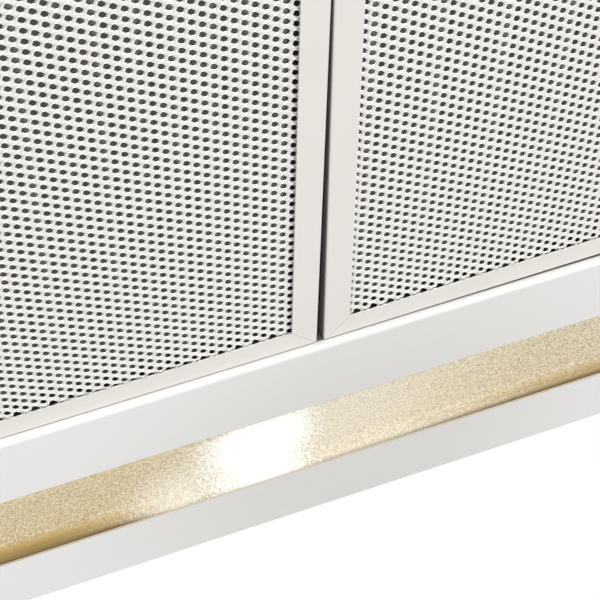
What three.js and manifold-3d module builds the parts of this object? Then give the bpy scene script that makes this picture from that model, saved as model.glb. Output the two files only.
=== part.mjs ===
// An under cabinet range hood, 30 in class: a bent steel canopy with a full-width lamp lens behind the
// front lip, two framed mesh grease filters side by side, a centrifugal blower that turns inside a scroll,
// and a rectangular duct collar with a backdraft damper.
// Millimetres. +X is right for a cook facing the hood, +Y is the wall, +Z is up.
// The origin is on the top face, at the middle of the canopy's width and depth.
import * as THREE from "three";
import { mergeVertices } from "three/addons/utils/BufferGeometryUtils.js";
import Module from "manifold-3d";

const wasm = await Module();
wasm.setup();

// ---------------------------------------------------------------- driving dimensions

const WIDTH = 759; // side to side
const DEPTH = 500; // wall to front face
const HEIGHT = 152; // cabinet to lowest edge
const TOP_DEPTH = 320; // flat top that bears on the cabinet, from the wall
const FASCIA_HEIGHT = 58; // upright front face
const SHEET = 1; // painted steel
const FIT = 0.3; // gap between pieces that touch
const BEND = 3.5; // outer bends of the shell, at mid thickness
const TIGHT_BEND = 1.6; // bends of rails and flanges, at mid thickness

const LIP = 42.3; // front face to the edge of the lens opening
const LENS_OPENING = 52.4; // front to back
const RAIL_DEPTH = 46.5; // cross rail between lens and filters
const RAIL_FLANGE = 14; // height of the rail's two upright flanges
const SIDE_FLANGE = 20; // return flange under each side panel
const LEDGE = 6.4; // how far the rear ledge reaches under a filter
const LEDGE_JOGGLE = 14; // length of the rear flange that is raised to hold the filters

const FILTER_THICKNESS = 9;
const FILTER_STEP = 3.5; // filter's underside above the lowest edge
const FILTER_FRAME = 12.4; // face width of the filter's frame
const FILTER_SKIN = 0.8; // sheet of the frame's channel
const FILTER_PLAY = 0.5; // front edge to the rail
const FILTER_SIDE_PLAY = 2.5; // side edge to the side panel's flange
const FILTER_REAR_SPACE = 56.3; // rear edge to the wall
const FILTER_GAP = 0.4; // between the two filters, at the wall side
const LEFT_YAW = THREE.MathUtils.degToRad(0.6); // the left filter lies a little out of square
const RIGHT_EDGE = 1; // inner edge of the right filter, from the middle of the hood
const MESH_SHEET = 0.5; // expanded mesh layer, as a plain sheet of the same weight
const CORE_SHEET = 0.5; // corrugated mesh between the two
const CORE_WAVES = 48; // slopes of the corrugation

const LENS_SHEET = 2;
const LENS_RECESS = 9; // lens face above the lowest edge
const LENS_BEND = 5;
const LENS_FOOT = 7; // hook that lies on the front lip
const LENS_PLAY = 1; // rear wall to the rail
const LENS_END_PLAY = 4; // each end to the side flange

const DUCT_WIDTH = 252; // collar outside, for a 3 1/4 x 10 in duct
const DUCT_DEPTH = 81;
const DUCT_SETBACK = 110; // collar's middle, from the wall
const COLLAR_HEIGHT = 50;
const COLLAR_FLANGE = 14;
const DAMPER_HEIGHT = 9; // damper's pin above the top face
const DAMPER_PIN = 1.5;
const DAMPER_PLAY = 2; // flap to each collar wall

const BLOWER_OFFSET = 20; // shaft in front of the collar's middle
const BLOWER_DROP = 76; // shaft under the top face
const WHEEL_RADIUS = 42;
const WHEEL_LENGTH = 230;
const BLADES = 30;
const TONGUE_GAP = 7; // wheel to the scroll's mid surface where it starts
const TONGUE_ANGLE = 115; // degrees from the wall direction, turning up and over
const SHAFT_RADIUS = 4;
const SHAFT_PLAY = 0.4;
const INLET_STEP = 6; // inlet's edge inside the wheel's rim
const MOTOR_RADIUS = 41;
const MOTOR_LENGTH = 55;
const MOTOR_OFFSET = 21; // motor's face to the scroll's side plate

const BULB_RADIUS = 22;
const BULB_X = 16; // middle of the globe
const LAMP_Y_OFFSET = 2; // lamp's axis behind the middle of the lens opening
const BULB_OVER_LENS = 5; // globe to the lens below it
const BULB_UNDER_TRAY = 4; // globe to the middle of the tray's sheet above it
const CAP_RADIUS = 13;
const GLASS_WALL = 1;
const SOCKET_RADIUS = 18;
const SOCKET_LENGTH = 44;

const PLATE_WIDTH = 124; // control plate on the front face
const PLATE_HEIGHT = 34;
const PLATE_THICKNESS = 1.5;
const PLATE_INSET = 107.5; // plate's middle, from the right side
const SWITCH_WIDTH = 28;
const SWITCH_HEIGHT = 13;
const SWITCH_DEPTH = 17;
const SWITCH_SPACING = 52;
const BEZEL = 2.5; // bezel's rim around a switch
const ROCKER_TILT = THREE.MathUtils.degToRad(8); // light rocker's tilt when it is on

const BOX_WIDTH = 90; // wiring box
const BOX_DEPTH = 78;
const BOX_HEIGHT = 50;
const BOX_INSET = 89.5; // box's middle, from the left side
const BOX_SETBACK = 64; // box's middle, from the wall
const ENTRY_RADIUS = 11; // knockout for the house cable
const LEAD_RADIUS = 3;

const RING_WIRE = 1.25; // pull ring under each filter
const RING_FIT = 0.35; // play of the wire in its saddle
const RING_WIDTH = 26;
const RING_DROP = 17;

// ---------------------------------------------------------------- places worked out from them

const REAR = DEPTH / 2;
const FRONT = -DEPTH / 2;
const BOTTOM = -HEIGHT;
const HALF = WIDTH / 2;
const INNER_HALF = HALF - SHEET - FIT; // ends of what spans between the side panels
const SLOPE_Y = REAR - TOP_DEPTH; // where the top turns down to the front
const SLOPE_Z = BOTTOM + FASCIA_HEIGHT; // where the slope meets the front face
const slopeAt = (y) => (SLOPE_Z * (SLOPE_Y - y)) / (SLOPE_Y - FRONT); // the slope's height
const LIP_Y = FRONT + LIP;
const RAIL_FRONT = LIP_Y + LENS_OPENING;
const RAIL_REAR = RAIL_FRONT + RAIL_DEPTH;
const RAIL_TOP = BOTTOM + RAIL_FLANGE;
const FILTER_FRONT = RAIL_REAR + FILTER_PLAY;
const FILTER_REAR = REAR - FILTER_REAR_SPACE;
const FILTER_DEPTH = FILTER_REAR - FILTER_FRONT;
const FILTER_WIDTH = HALF - SIDE_FLANGE - FILTER_SIDE_PLAY - RIGHT_EDGE;
const FILTER_Z = BOTTOM + FILTER_STEP; // underside of the filters
const FILTER_TOP = FILTER_Z + FILTER_THICKNESS;
const LEDGE_Y = FILTER_REAR - LEDGE; // front edge of the rear ledge, where a filter pivots
const LENS_Z = BOTTOM + LENS_RECESS;
const LAMP_Y = (LIP_Y + RAIL_FRONT) / 2 - LAMP_Y_OFFSET;
const LAMP_Z = LENS_Z + LENS_SHEET + BULB_OVER_LENS + BULB_RADIUS;
const TRAY_TOP = LAMP_Z + BULB_RADIUS + BULB_UNDER_TRAY; // middle of the tray's sheet over the bulb
const DUCT_Y = REAR - DUCT_SETBACK;
const DUCT_FRONT = DUCT_Y - DUCT_DEPTH / 2;
const DUCT_REAR = DUCT_Y + DUCT_DEPTH / 2;
const SCROLL_HALF = DUCT_WIDTH / 2 - SHEET - FIT; // scroll's wrap, inside its side plates
const BLOWER_Y = DUCT_Y - BLOWER_OFFSET;
const BLOWER_Z = -BLOWER_DROP;
const TONGUE_RADIUS = WHEEL_RADIUS + TONGUE_GAP;
const INLET_RADIUS = WHEEL_RADIUS - INLET_STEP;
const PLATE_X = HALF - PLATE_INSET;
const PLATE_Z = BOTTOM + FASCIA_HEIGHT / 2;
const BOX_X = BOX_INSET - HALF;
const BOX_Y = REAR - BOX_SETBACK;
const UNDER_TOP = -SHEET - FIT; // what hangs from the top sheet starts here
const SCROLL_TOP = UNDER_TOP - SHEET - FIT; // under the collar's flange

// ---------------------------------------------------------------- materials

const finish = (color, roughness, metalness) =>
  new THREE.MeshStandardMaterial({ color, roughness, metalness });
const white_paint = finish(0xe9e8e4, 0.35, 0);
const aluminium = finish(0xdedbd4, 0.35, 0.9);
const galvanised = finish(0xb6b9ba, 0.45, 0.8);
const dark_steel = finish(0x55585c, 0.5, 0.7);
const lens_plastic = finish(0xe6d3a0, 0.4, 0);
const glass = finish(0xfff4dc, 0.2, 0);
const brass = finish(0xc9a86a, 0.35, 0.9);
const ceramic = finish(0xf0eee8, 0.4, 0);
const black_plastic = finish(0x232325, 0.45, 0);
const grey_plastic = finish(0x8b8d8f, 0.5, 0);
const lead_sheath = finish(0x3a3a3c, 0.6, 0);

// ---------------------------------------------------------------- shape helpers

const part = new THREE.Group();

function put(name, geometry, material, parent = part) {
  const mesh = new THREE.Mesh(geometry, material);
  mesh.name = name;
  parent.add(mesh);
  return mesh;
}

// A closed geometry as a solid that can be joined and cut.
function solid(geometry) {
  const bare = geometry.index ? geometry.toNonIndexed() : geometry.clone();
  bare.deleteAttribute("normal");
  bare.deleteAttribute("uv");
  const merged = mergeVertices(bare, 1e-4);
  return new wasm.Manifold(
    new wasm.Mesh({
      numProp: 3,
      vertProperties: new Float32Array(merged.attributes.position.array),
      triVerts: new Uint32Array(merged.index.array),
    }),
  );
}

function geometryOf(made) {
  const mesh = made.getMesh();
  const geometry = new THREE.BufferGeometry();
  geometry.setAttribute("position", new THREE.BufferAttribute(mesh.vertProperties, 3));
  geometry.setIndex(new THREE.BufferAttribute(mesh.triVerts, 1));
  return geometry;
}

const join = (...pieces) => geometryOf(pieces.map(solid).reduce((a, b) => a.add(b)));
const cut = (piece, ...tools) =>
  geometryOf(tools.map(solid).reduce((a, b) => a.subtract(b), solid(piece)));
const common = (a, b) => geometryOf(solid(a).intersect(solid(b)));

function box(x0, x1, y0, y1, z0, z1) {
  const made = new THREE.BoxGeometry(x1 - x0, y1 - y0, z1 - z0);
  return made.translate((x0 + x1) / 2, (y0 + y1) / 2, (z0 + z1) / 2);
}

const shape = (points) => new THREE.Shape(points.map(([a, b]) => new THREE.Vector2(a, b)));
const prism = (outline, length) =>
  new THREE.ExtrudeGeometry(outline, { depth: length, bevelEnabled: false, curveSegments: 16 });

// A (y, z) outline run from x0 to x1.
function alongX(points, x0, x1) {
  const turn = new THREE.Matrix4().makeBasis(
    new THREE.Vector3(0, 1, 0),
    new THREE.Vector3(0, 0, 1),
    new THREE.Vector3(1, 0, 0),
  );
  return prism(shape(points), x1 - x0).applyMatrix4(turn).translate(x0, 0, 0);
}

// An (x, z) outline run from y0 to y1.
function alongY(points, y0, y1) {
  const made = prism(shape(points), y1 - y0).rotateX(Math.PI / 2);
  return made.translate(0, y1, 0);
}

const alongZ = (points, z0, z1) => prism(shape(points), z1 - z0).translate(0, 0, z0);

function rodX(radius, x0, x1, y, z, sides = 16) {
  const made = new THREE.CylinderGeometry(radius, radius, x1 - x0, sides).rotateZ(Math.PI / 2);
  return made.translate((x0 + x1) / 2, y, z);
}

function rodZ(radius, z0, z1, x, y, sides = 16) {
  const made = new THREE.CylinderGeometry(radius, radius, z1 - z0, sides).rotateX(Math.PI / 2);
  return made.translate(x, y, (z0 + z1) / 2);
}

// A (radius, height) profile turned about Y; it starts and ends on the axis or closes on itself.
function turned(profile, sides) {
  const points = profile.map(([r, up]) => new THREE.Vector2(r, up));
  if (THREE.ShapeUtils.area(points) < 0) points.reverse();
  return new THREE.LatheGeometry(points, sides);
}

const turnedX = (profile, y, z, sides = 24) =>
  turned(profile, sides).rotateZ(-Math.PI / 2).translate(0, y, z);
const turnedZ = (profile, x, y, sides = 24) =>
  turned(profile, sides).rotateX(Math.PI / 2).translate(x, y, 0);

// A path of straight runs with each corner rounded to a radius, as points with their normals.
function roundedPath(points, radius, steps = 5) {
  const at = points.map(([a, b]) => new THREE.Vector2(a, b));
  const found = [];
  const mark = (p, along) => found.push({ p, n: new THREE.Vector2(-along.y, along.x) });
  at.forEach((p, i) => {
    if (i === 0) return mark(p, at[1].clone().sub(p).normalize());
    const into = p.clone().sub(at[i - 1]).normalize();
    if (i === at.length - 1) return mark(p, into);
    const out = at[i + 1].clone().sub(p).normalize();
    const turn = Math.atan2(into.cross(out), into.dot(out));
    const r = Array.isArray(radius) ? radius[i - 1] : radius;
    const back = r * Math.tan(Math.abs(turn) / 2);
    const start = p.clone().addScaledVector(into, -back);
    const side = Math.sign(turn);
    const centre = start.clone().add(new THREE.Vector2(-into.y, into.x).multiplyScalar(side * r));
    for (let k = 0; k <= steps; k += 1) {
      const angle = (turn * k) / steps;
      const arm = start.clone().sub(centre).rotateAround(new THREE.Vector2(), angle);
      mark(centre.clone().add(arm), into.clone().rotateAround(new THREE.Vector2(), angle));
    }
  });
  return found;
}

// The outline of a bent sheet whose middle follows a path.
function sheetOutline(path, thickness) {
  const side = (way) => path.map(({ p, n }) => p.clone().addScaledVector(n, (way * thickness) / 2));
  const outline = [...side(1), ...side(-1).reverse()];
  const made = outline.map((p) => [p.x, p.y]);
  return THREE.ShapeUtils.area(outline) < 0 ? made.reverse() : made;
}

const bentSheet = (points, thickness, radius) =>
  sheetOutline(roundedPath(points, radius), thickness);

// A tube along a smooth curve through points.
function tube(points, radius, steps, sides = 8) {
  const curve = new THREE.CatmullRomCurve3(points.map((p) => new THREE.Vector3(...p)));
  const section = new THREE.Shape();
  for (let k = 0; k < sides; k += 1) {
    const angle = (2 * Math.PI * k) / sides;
    const corner = [radius * Math.cos(angle), radius * Math.sin(angle)];
    if (k === 0) section.moveTo(...corner);
    else section.lineTo(...corner);
  }
  return new THREE.ExtrudeGeometry(section, { steps, extrudePath: curve, bevelEnabled: false });
}

// A round-headed screw with its head above z, pointing down.
function screw(x, y, z, head, shank, length) {
  const profile = [
    [0, head * 0.75],
    [head * 0.55, head * 0.6],
    [head, head * 0.15],
    [head, 0],
    [shank, 0],
    [shank, -length],
    [0, -length],
  ];
  return turnedZ(profile, x, y, 12).translate(0, 0, z);
}

// ---------------------------------------------------------------- shell

const MID = SHEET / 2;
const KEYHOLE_INSET = 79.5; // from each side
const KEYHOLES = [
  [KEYHOLE_INSET - HALF, REAR - 120],
  [HALF - KEYHOLE_INSET, REAR - 50],
  [KEYHOLE_INSET - HALF, REAR - 290],
  [HALF - KEYHOLE_INSET, REAR - 290],
];
const KEYHOLE_HEAD = 5;
const KEYHOLE_NECK = 2.6;
const KEYHOLE_LENGTH = 12;
const COLLAR_SCREW = 2; // shank radius
const COLLAR_SCREW_SHORT = 0.2; // screw's tip below the top face
const collarScrews = [-1, 1].flatMap((sx) =>
  [-1, 1].map((sy) => [
    sx * (DUCT_WIDTH / 2 + COLLAR_FLANGE / 2),
    DUCT_Y + sy * (DUCT_DEPTH / 2 + COLLAR_FLANGE / 2),
  ]),
);
const switchCentres = [PLATE_X - SWITCH_SPACING / 2, PLATE_X + SWITCH_SPACING / 2];

// The canopy is one sheet: flat top, slope, front face and the lip that runs back to the lens.
function canopy() {
  const path = [
    [REAR, -MID],
    [SLOPE_Y, -MID],
    [FRONT + MID, SLOPE_Z],
    [FRONT + MID, BOTTOM + MID],
    [LIP_Y, BOTTOM + MID],
  ];
  const shell = alongX(bentSheet(path, SHEET, BEND), -INNER_HALF, INNER_HALF);
  const keyholes = KEYHOLES.flatMap(([x, y]) => [
    rodZ(KEYHOLE_HEAD, -2 * SHEET, SHEET, x, y, 12),
    box(x - KEYHOLE_NECK, x + KEYHOLE_NECK, y, y + KEYHOLE_LENGTH, -2 * SHEET, SHEET),
  ]);
  const mouth = box(
    -DUCT_WIDTH / 2 - FIT,
    DUCT_WIDTH / 2 + FIT,
    DUCT_FRONT - FIT,
    DUCT_REAR + FIT,
    -2 * SHEET,
    SHEET,
  );
  const switches = switchCentres.map((x) =>
    box(
      x - SWITCH_WIDTH / 2 - FIT,
      x + SWITCH_WIDTH / 2 + FIT,
      FRONT - SHEET,
      FRONT + 2 * SHEET,
      PLATE_Z - SWITCH_HEIGHT / 2 - FIT,
      PLATE_Z + SWITCH_HEIGHT / 2 + FIT,
    ),
  );
  const entry = rodZ(ENTRY_RADIUS, -2 * SHEET, SHEET, BOX_X, BOX_Y);
  const pilots = collarScrews.map(([x, y]) =>
    rodZ(COLLAR_SCREW + FIT, -2 * SHEET, SHEET, x, y, 8),
  );
  put("canopy", cut(shell, mouth, entry, ...keyholes, ...switches, ...pilots), white_paint);
}

// A side panel: an upright plate with a return flange, notched for the lip, the rail and the rear flange.
function sidePanel(name, side) {
  const outer = side * (HALF - MID);
  const inner = side * (HALF - SIDE_FLANGE);
  const section = bentSheet(
    [
      [outer, SHEET],
      [outer, BOTTOM + MID],
      [inner, BOTTOM + MID],
    ],
    SHEET,
    TIGHT_BEND,
  );
  const folded = alongY(section, FRONT, REAR);
  const outline = [
    [REAR, BOTTOM],
    [REAR, 0],
    [SLOPE_Y, 0],
    [FRONT, SLOPE_Z],
    [FRONT, BOTTOM],
  ];
  const x0 = Math.min(0, side * HALF);
  const x1 = Math.max(0, side * HALF);
  const trimmed = common(folded, alongX(outline, x0, x1));
  const clearOf = (y0, y1) => {
    const a = side * (HALF - SHEET - FIT);
    const b = side * (HALF - SIDE_FLANGE - SHEET);
    return box(Math.min(a, b), Math.max(a, b), y0, y1, BOTTOM - SHEET, BOTTOM + 3 * SHEET);
  };
  const notched = cut(
    trimmed,
    clearOf(FRONT - SHEET, LIP_Y + FIT),
    clearOf(RAIL_FRONT - FIT, RAIL_REAR + FIT),
    clearOf(LEDGE_Y - FIT, REAR + SHEET),
  );
  put(name, notched, white_paint);
}

const COVER_WIDTH = 262;
const COVER_HEIGHT = 92;
const COVER_LAP = 8; // how far the cover laps over the rear opening's edge

// The back of the hood, with a second duct opening, and a flange whose front edge carries the filters.
function rearPanel() {
  const raised = FILTER_Z - FIT - MID;
  const path = [
    [REAR - MID, UNDER_TOP],
    [REAR - MID, BOTTOM + MID],
    [LEDGE_Y + LEDGE_JOGGLE + 2 * SHEET, BOTTOM + MID],
    [LEDGE_Y + LEDGE_JOGGLE, raised],
    [LEDGE_Y, raised],
  ];
  const sheet = alongX(
    bentSheet(path, SHEET, [TIGHT_BEND, MID + 0.1, MID + 0.1]),
    -INNER_HALF,
    INNER_HALF,
  );
  const width = COVER_WIDTH / 2 - COVER_LAP;
  const middle = BOTTOM / 2;
  const height = COVER_HEIGHT / 2 - COVER_LAP;
  const opening = box(-width, width, REAR - 2 * SHEET, REAR + SHEET, middle - height, middle + height);
  put("rear_panel", cut(sheet, opening), white_paint);
  const rear = REAR - SHEET - FIT;
  const cover = box(
    -COVER_WIDTH / 2,
    COVER_WIDTH / 2,
    rear - SHEET,
    rear,
    middle - COVER_HEIGHT / 2,
    middle + COVER_HEIGHT / 2,
  );
  put("rear_duct_cover", cover, galvanised);
}

// The channel between lens and filters. Its rear bend shows beside the filters.
function crossRail() {
  const path = [
    [RAIL_FRONT + MID, RAIL_TOP],
    [RAIL_FRONT + MID, BOTTOM + MID],
    [RAIL_REAR - MID, BOTTOM + MID],
    [RAIL_REAR - MID, RAIL_TOP],
  ];
  const channel = alongX(bentSheet(path, SHEET, TIGHT_BEND), -INNER_HALF, INNER_HALF);
  put("cross_rail", channel, white_paint);
}

// ---------------------------------------------------------------- duct collar and damper

// The collar stands through the top sheet. Its flange is screwed up against the sheet from inside.
function ductCollar() {
  const z0 = UNDER_TOP - SHEET;
  const half = DUCT_WIDTH / 2;
  const inside = half - SHEET;
  const flangeX = half + COLLAR_FLANGE;
  const flangeY = DUCT_DEPTH / 2 + COLLAR_FLANGE;
  const plate = box(-flangeX, flangeX, DUCT_Y - flangeY, DUCT_Y + flangeY, z0, z0 + SHEET);
  const wall = box(-half, half, DUCT_FRONT, DUCT_REAR, z0, COLLAR_HEIGHT);
  const bore = box(
    -inside,
    inside,
    DUCT_FRONT + SHEET,
    DUCT_REAR - SHEET,
    z0 - SHEET,
    COLLAR_HEIGHT + SHEET,
  );
  const pinHole = rodX(DAMPER_PIN + FIT, -half - SHEET, half + SHEET, damperY, DAMPER_HEIGHT, 12);
  const pilots = collarScrews.map(([x, y]) =>
    rodZ(COLLAR_SCREW + FIT, z0 - SHEET, z0 + 2 * SHEET, x, y, 8),
  );
  put("duct_collar", cut(join(plate, wall), bore, pinHole, ...pilots), galvanised);
  const length = -z0 + FIT - COLLAR_SCREW_SHORT;
  collarScrews.forEach(([x, y], i) => {
    const made = screw(0, 0, 0, 2 * COLLAR_SCREW, COLLAR_SCREW, length).rotateX(Math.PI);
    put(`collar_screw_${i + 1}`, made.translate(x, y, z0 - FIT), dark_steel);
  });
}

const damperY = DUCT_REAR - SHEET - DAMPER_PLAY - DAMPER_PIN;

function damper() {
  const half = DUCT_WIDTH / 2 - SHEET - DAMPER_PLAY;
  const flap = box(
    -half,
    half,
    DUCT_FRONT + SHEET + DAMPER_PLAY,
    damperY,
    DAMPER_HEIGHT - MID,
    DAMPER_HEIGHT + MID,
  );
  const reach = DUCT_WIDTH / 2 + DAMPER_PIN;
  put("damper_flap", join(flap, rodX(DAMPER_PIN, -reach, reach, damperY, DAMPER_HEIGHT, 12)), aluminium);
}

// ---------------------------------------------------------------- blower

const scrollEnd = DUCT_REAR - MID - BLOWER_Y; // radius where the scroll meets the outlet's rear wall

// The scroll's mid surface: outlet's front wall, the tongue, the spiral round the wheel, the rear wall.
function scrollPath(offset = 0) {
  const points = [[DUCT_FRONT + MID - offset, SCROLL_TOP]];
  const steps = 22;
  for (let k = 0; k <= steps; k += 1) {
    const share = k / steps;
    const angle = THREE.MathUtils.degToRad(TONGUE_ANGLE + share * (360 - TONGUE_ANGLE));
    const r = TONGUE_RADIUS + share * (scrollEnd - TONGUE_RADIUS) + offset;
    points.push([BLOWER_Y + r * Math.cos(angle), BLOWER_Z + r * Math.sin(angle)]);
  }
  points.push([DUCT_REAR - MID + offset, SCROLL_TOP]);
  return points;
}

function scroll() {
  const path = scrollPath().map(([a, b]) => new THREE.Vector2(a, b));
  const marked = path.map((p, i) => {
    const before = path[Math.max(0, i - 1)];
    const after = path[Math.min(path.length - 1, i + 1)];
    const along = after.clone().sub(before).normalize();
    return { p, n: new THREE.Vector2(-along.y, along.x) };
  });
  put("scroll_wrap", alongX(sheetOutline(marked, SHEET), -SCROLL_HALF, SCROLL_HALF), galvanised);
  for (const [name, side] of [
    ["left", -1],
    ["right", 1],
  ]) {
    const x0 = side > 0 ? DUCT_WIDTH / 2 - SHEET : -DUCT_WIDTH / 2;
    const plate = alongX(scrollPath(2 * SHEET), x0, x0 + SHEET);
    const hole = rodX(INLET_RADIUS, x0 - SHEET, x0 + 2 * SHEET, BLOWER_Y, BLOWER_Z, 32);
    put(`scroll_side_${name}`, cut(plate, hole), galvanised);
    const face = side * (DUCT_WIDTH / 2 + FIT);
    const out = (r, x) => [r, face + side * x];
    const profile = [
      out(INLET_RADIUS + 9, 0),
      out(INLET_RADIUS + 9, 1),
      out(INLET_RADIUS + 4, 1.6),
      out(INLET_RADIUS + 1.2, 4),
      out(INLET_RADIUS + 1, 7),
      out(INLET_RADIUS - 0.4, 7),
      out(INLET_RADIUS - 0.2, 3.4),
      out(INLET_RADIUS + 2.4, 0),
      out(INLET_RADIUS + 9, 0),
    ];
    const ring = turnedX(profile, BLOWER_Y, BLOWER_Z, 32);
    put(`inlet_ring_${name}`, ring, grey_plastic);
  }
}

// A squirrel cage wheel: a hub disc in the middle, forward-curved blades, and a ring at each end.
function wheel() {
  const end = WHEEL_LENGTH / 2;
  const ring = 3;
  const inside = WHEEL_RADIUS - 7;
  const disc = turnedX(
    [
      [SHAFT_RADIUS + SHAFT_PLAY, -ring],
      [SHAFT_RADIUS + SHAFT_PLAY, ring * 3],
      [10, ring * 3],
      [11, ring / 2],
      [WHEEL_RADIUS - 0.5, ring / 2],
      [WHEEL_RADIUS - 0.5, -ring / 2],
      [11, -ring / 2],
      [10, -ring],
      [SHAFT_RADIUS + SHAFT_PLAY, -ring],
    ],
    0,
    0,
    BLADES,
  );
  const rim = (x) =>
    turnedX(
      [
        [inside, x],
        [inside, x + ring],
        [WHEEL_RADIUS, x + ring],
        [WHEEL_RADIUS, x],
        [inside, x],
      ],
      0,
      0,
      BLADES,
    );
  const blade = alongX(
    sheetOutline(
      roundedPath(
        [
          [0, inside + 0.4],
          [1.2, WHEEL_RADIUS - 3],
          [4.4, WHEEL_RADIUS - 0.9],
        ],
        4,
        2,
      ),
      0.8,
    ),
    -end + 1,
    end - 1,
  );
  const blades = Array.from({ length: BLADES }, (_, k) =>
    blade.clone().rotateX((2 * Math.PI * k) / BLADES),
  );
  const cage = join(disc, rim(-end), rim(end - ring), ...blades);
  put("blower_wheel", cage.translate(0, BLOWER_Y, BLOWER_Z), aluminium);
}

function motor() {
  const face = -DUCT_WIDTH / 2 - MOTOR_OFFSET;
  const back = face - MOTOR_LENGTH;
  const bore = SHAFT_RADIUS + SHAFT_PLAY;
  const housing = turnedX(
    [
      [bore, face + 4],
      [12, face + 4],
      [13, face],
      [MOTOR_RADIUS - 4, face],
      [MOTOR_RADIUS, face - 4],
      [MOTOR_RADIUS, back + 4],
      [MOTOR_RADIUS - 4, back],
      [13, back],
      [12, back - 3],
      [bore, back - 3],
      [bore, face + 4],
    ],
    BLOWER_Y,
    BLOWER_Z,
    32,
  );
  put("motor_housing", housing, dark_steel);
  put("motor_shaft", rodX(SHAFT_RADIUS, back - 6, 30, BLOWER_Y, BLOWER_Z, 16), galvanised);
  // The spider: a band round the motor and three legs that stand on the scroll's side plate.
  const inner = MOTOR_RADIUS + FIT;
  const band = turnedX(
    [
      [inner, face - 16],
      [inner + 2, face - 16],
      [inner + 2, face - 6],
      [inner, face - 6],
      [inner, face - 16],
    ],
    0,
    0,
    32,
  );
  const foot = -DUCT_WIDTH / 2 - FIT;
  const legRadius = Math.max(INLET_RADIUS + 12, MOTOR_RADIUS + 7); // clear of ring and motor
  const legs = [90, 210, 330].map((angle) => {
    const leg = join(
      box(face - 16, foot, -5, 5, legRadius - 2, legRadius),
      box(face - 16, face - 14, -5, 5, inner + 1, legRadius),
      box(foot - 2, foot, -5, 5, legRadius - 2, legRadius + 3),
    );
    return leg.rotateX(THREE.MathUtils.degToRad(angle - 90));
  });
  const spider = join(band, ...legs).translate(0, BLOWER_Y, BLOWER_Z);
  put("motor_bracket", spider, galvanised);
}

const CAPACITOR_X = 60;
const CAPACITOR_Y = BLOWER_Y - 90;
const CAPACITOR_RADIUS = 16;

function capacitor() {
  const x = CAPACITOR_X;
  const y = CAPACITOR_Y;
  const z = -24;
  const radius = CAPACITOR_RADIUS;
  put("capacitor", rodX(radius, x - 27, x + 27, y, z, 24), black_plastic);
  const strap = bentSheet(
    [
      [y - 30, UNDER_TOP - MID],
      [y - radius - FIT - MID, UNDER_TOP - MID],
      [y - radius - FIT - MID, z - radius - FIT - MID],
      [y + radius + FIT + MID, z - radius - FIT - MID],
      [y + radius + FIT + MID, UNDER_TOP - MID],
      [y + 30, UNDER_TOP - MID],
    ],
    SHEET,
    [TIGHT_BEND, 12, 12, TIGHT_BEND],
  );
  put("capacitor_strap", alongX(strap, x - 8, x + 8), galvanised);
}

// ---------------------------------------------------------------- lamp

const socketBack = BULB_X - 56 - SOCKET_LENGTH;

function lampTray() {
  const rear = RAIL_FRONT + SHEET + FIT + MID;
  const foot = BOTTOM + SHEET + FIT + MID;
  const front = LIP_Y - LENS_FOOT - 7;
  const path = [
    [rear, foot],
    [rear, RAIL_TOP + 6],
    [rear - 10.5, TRAY_TOP],
    [LAMP_Y - 20, TRAY_TOP],
    [front, RAIL_TOP + 12],
    [front, foot],
    [front - 16, foot],
  ];
  const long = INNER_HALF - SIDE_FLANGE - 3;
  const tray = alongX(bentSheet(path, SHEET, [TIGHT_BEND, 4, 4, 4, TIGHT_BEND]), -long, long);
  const leadHole = rodZ(LEAD_RADIUS + 1.5, TRAY_TOP - 3, TRAY_TOP + 3, socketBack - 30, LAMP_Y, 12);
  put("lamp_tray", cut(tray, leadHole), aluminium);

  const plateX = socketBack - FIT;
  const upright = bentSheet(
    [
      [plateX - MID - 16, TRAY_TOP - MID - FIT - MID],
      [plateX - MID, TRAY_TOP - MID - FIT - MID],
      [plateX - MID, LAMP_Z - SOCKET_RADIUS],
    ],
    SHEET,
    TIGHT_BEND,
  );
  const bracket = alongY(upright, LAMP_Y - 14, LAMP_Y + 14);
  const neck = rodX(LEAD_RADIUS + 2.5, plateX - 3, plateX + 2, LAMP_Y, LAMP_Z, 12);
  put("socket_bracket", cut(bracket, neck), galvanised);

  const mouth = socketBack + SOCKET_LENGTH;
  const bore = CAP_RADIUS + 0.6;
  const socket = turnedX(
    [
      [0, socketBack],
      [SOCKET_RADIUS - 3, socketBack],
      [SOCKET_RADIUS, socketBack + 4],
      [SOCKET_RADIUS, mouth],
      [bore, mouth],
      [bore, mouth - 30],
      [0, mouth - 30],
    ],
    LAMP_Y,
    LAMP_Z,
  );
  put("lamp_socket", socket, ceramic);

  const cap = [
    [0, mouth - 28],
    [4, mouth - 28],
    [9, mouth - 24],
    [CAP_RADIUS, mouth - 22],
    [CAP_RADIUS, mouth - 1],
    [CAP_RADIUS - 1, mouth - 1],
    [CAP_RADIUS - 1, mouth - 21],
    [8, mouth - 23],
    [0, mouth - 23],
  ];
  put("bulb_cap", turnedX(cap, LAMP_Y, LAMP_Z), brass);
  const neckStart = mouth - 1 + FIT;
  // The wall from the tip of the globe back to the neck.
  const globe = (wall) => {
    const points = [];
    const steps = 14;
    for (let k = 0; k <= steps; k += 1) {
      const angle = THREE.MathUtils.degToRad((140 * k) / steps);
      const r = BULB_RADIUS - wall;
      points.push([k === 0 ? 0 : r * Math.sin(angle), BULB_X + r * Math.cos(angle)]);
    }
    points.push([CAP_RADIUS - 0.6 - wall, neckStart + 12], [CAP_RADIUS - 1 - wall, neckStart]);
    return points;
  };
  const bulb = [...globe(0), ...globe(GLASS_WALL).reverse()];
  put("bulb_glass", turnedX(bulb, LAMP_Y, LAMP_Z), glass);
}

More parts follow.
